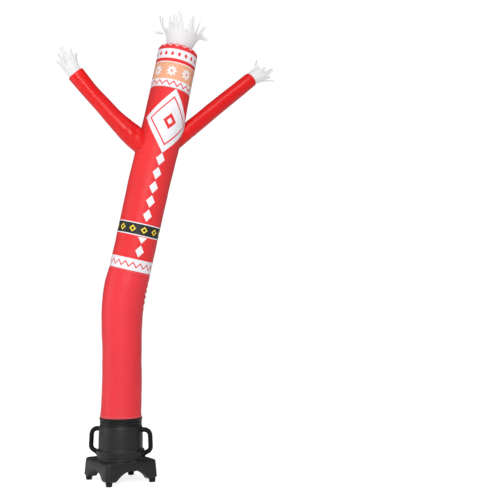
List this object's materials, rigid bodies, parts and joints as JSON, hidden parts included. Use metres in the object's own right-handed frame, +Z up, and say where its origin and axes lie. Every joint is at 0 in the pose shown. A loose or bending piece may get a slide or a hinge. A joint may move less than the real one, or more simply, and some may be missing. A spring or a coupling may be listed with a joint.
{
  "type": "inflatable air dancer on blower base",
  "caption": "Tall inflated cloth tube figure with raised arms, loose fringes and a winter pattern of bands and diamonds, clamped on a portable blower with carrying handles and a rocker switch.",
  "frame": {"origin": "on the floor, under the middle of the whole object's box; the blower's axis stands at x -0.281, y 0.104", "axes": "+Z up; the blower's sides lie along X and Y; the figure's front looks towards -Y, turned 11 degrees, and its arms reach towards -X and +X"},
  "size_m": [1.7031, 0.6161, 3.5162],
  "materials": {
    "cloth_red": "smooth ripstop, slightly glossy",
    "cloth_head": "smooth ripstop with a woven-in look of bands, diamonds and zigzags",
    "cloth_white": "thin white ripstop, slightly see-through",
    "blower_plastic": "fine grained moulding",
    "trim_plastic": "satin",
    "foot_rubber": "matt",
    "rocker_plastic": "glossy, part see-through green",
    "bright_metal": "satin plated"
  },
  "bodies": {
    "dancer": {"leg_tube": "cloth_red", "coat_tube": "cloth_red", "head_tube": "cloth_head", "arm_left": "cloth_red", "arm_right": "cloth_red", "fringe_head": "cloth_white", "fringe_left": "cloth_white", "fringe_right": "cloth_white", "drum": "blower_plastic", "base": "blower_plastic", "handle_left": "blower_plastic", "handle_right": "blower_plastic", "intake_guard": "blower_plastic", "control_flange": "blower_plastic", "control_housing": "blower_plastic", "outlet_ring": "trim_plastic", "neck_band": "trim_plastic", "switch_bezel": "trim_plastic", "cable_gland": "bright_metal", "foot_1": "foot_rubber", "foot_2": "foot_rubber", "foot_3": "foot_rubber", "foot_4": "foot_rubber", "screw_1": "bright_metal", "screw_2": "bright_metal", "screw_3": "bright_metal", "screw_4": "bright_metal"},
    "rocker": {"switch_rocker": "rocker_plastic"}
  },
  "joints": [
    {"name": "switch_rocker_tilt", "type": "hinge", "parent": "dancer", "child": "rocker", "pos_m": [-0.14099, 0.26098, 0.278], "axis": [0, 0, 1], "range_deg": [0, 16]}
  ]
}
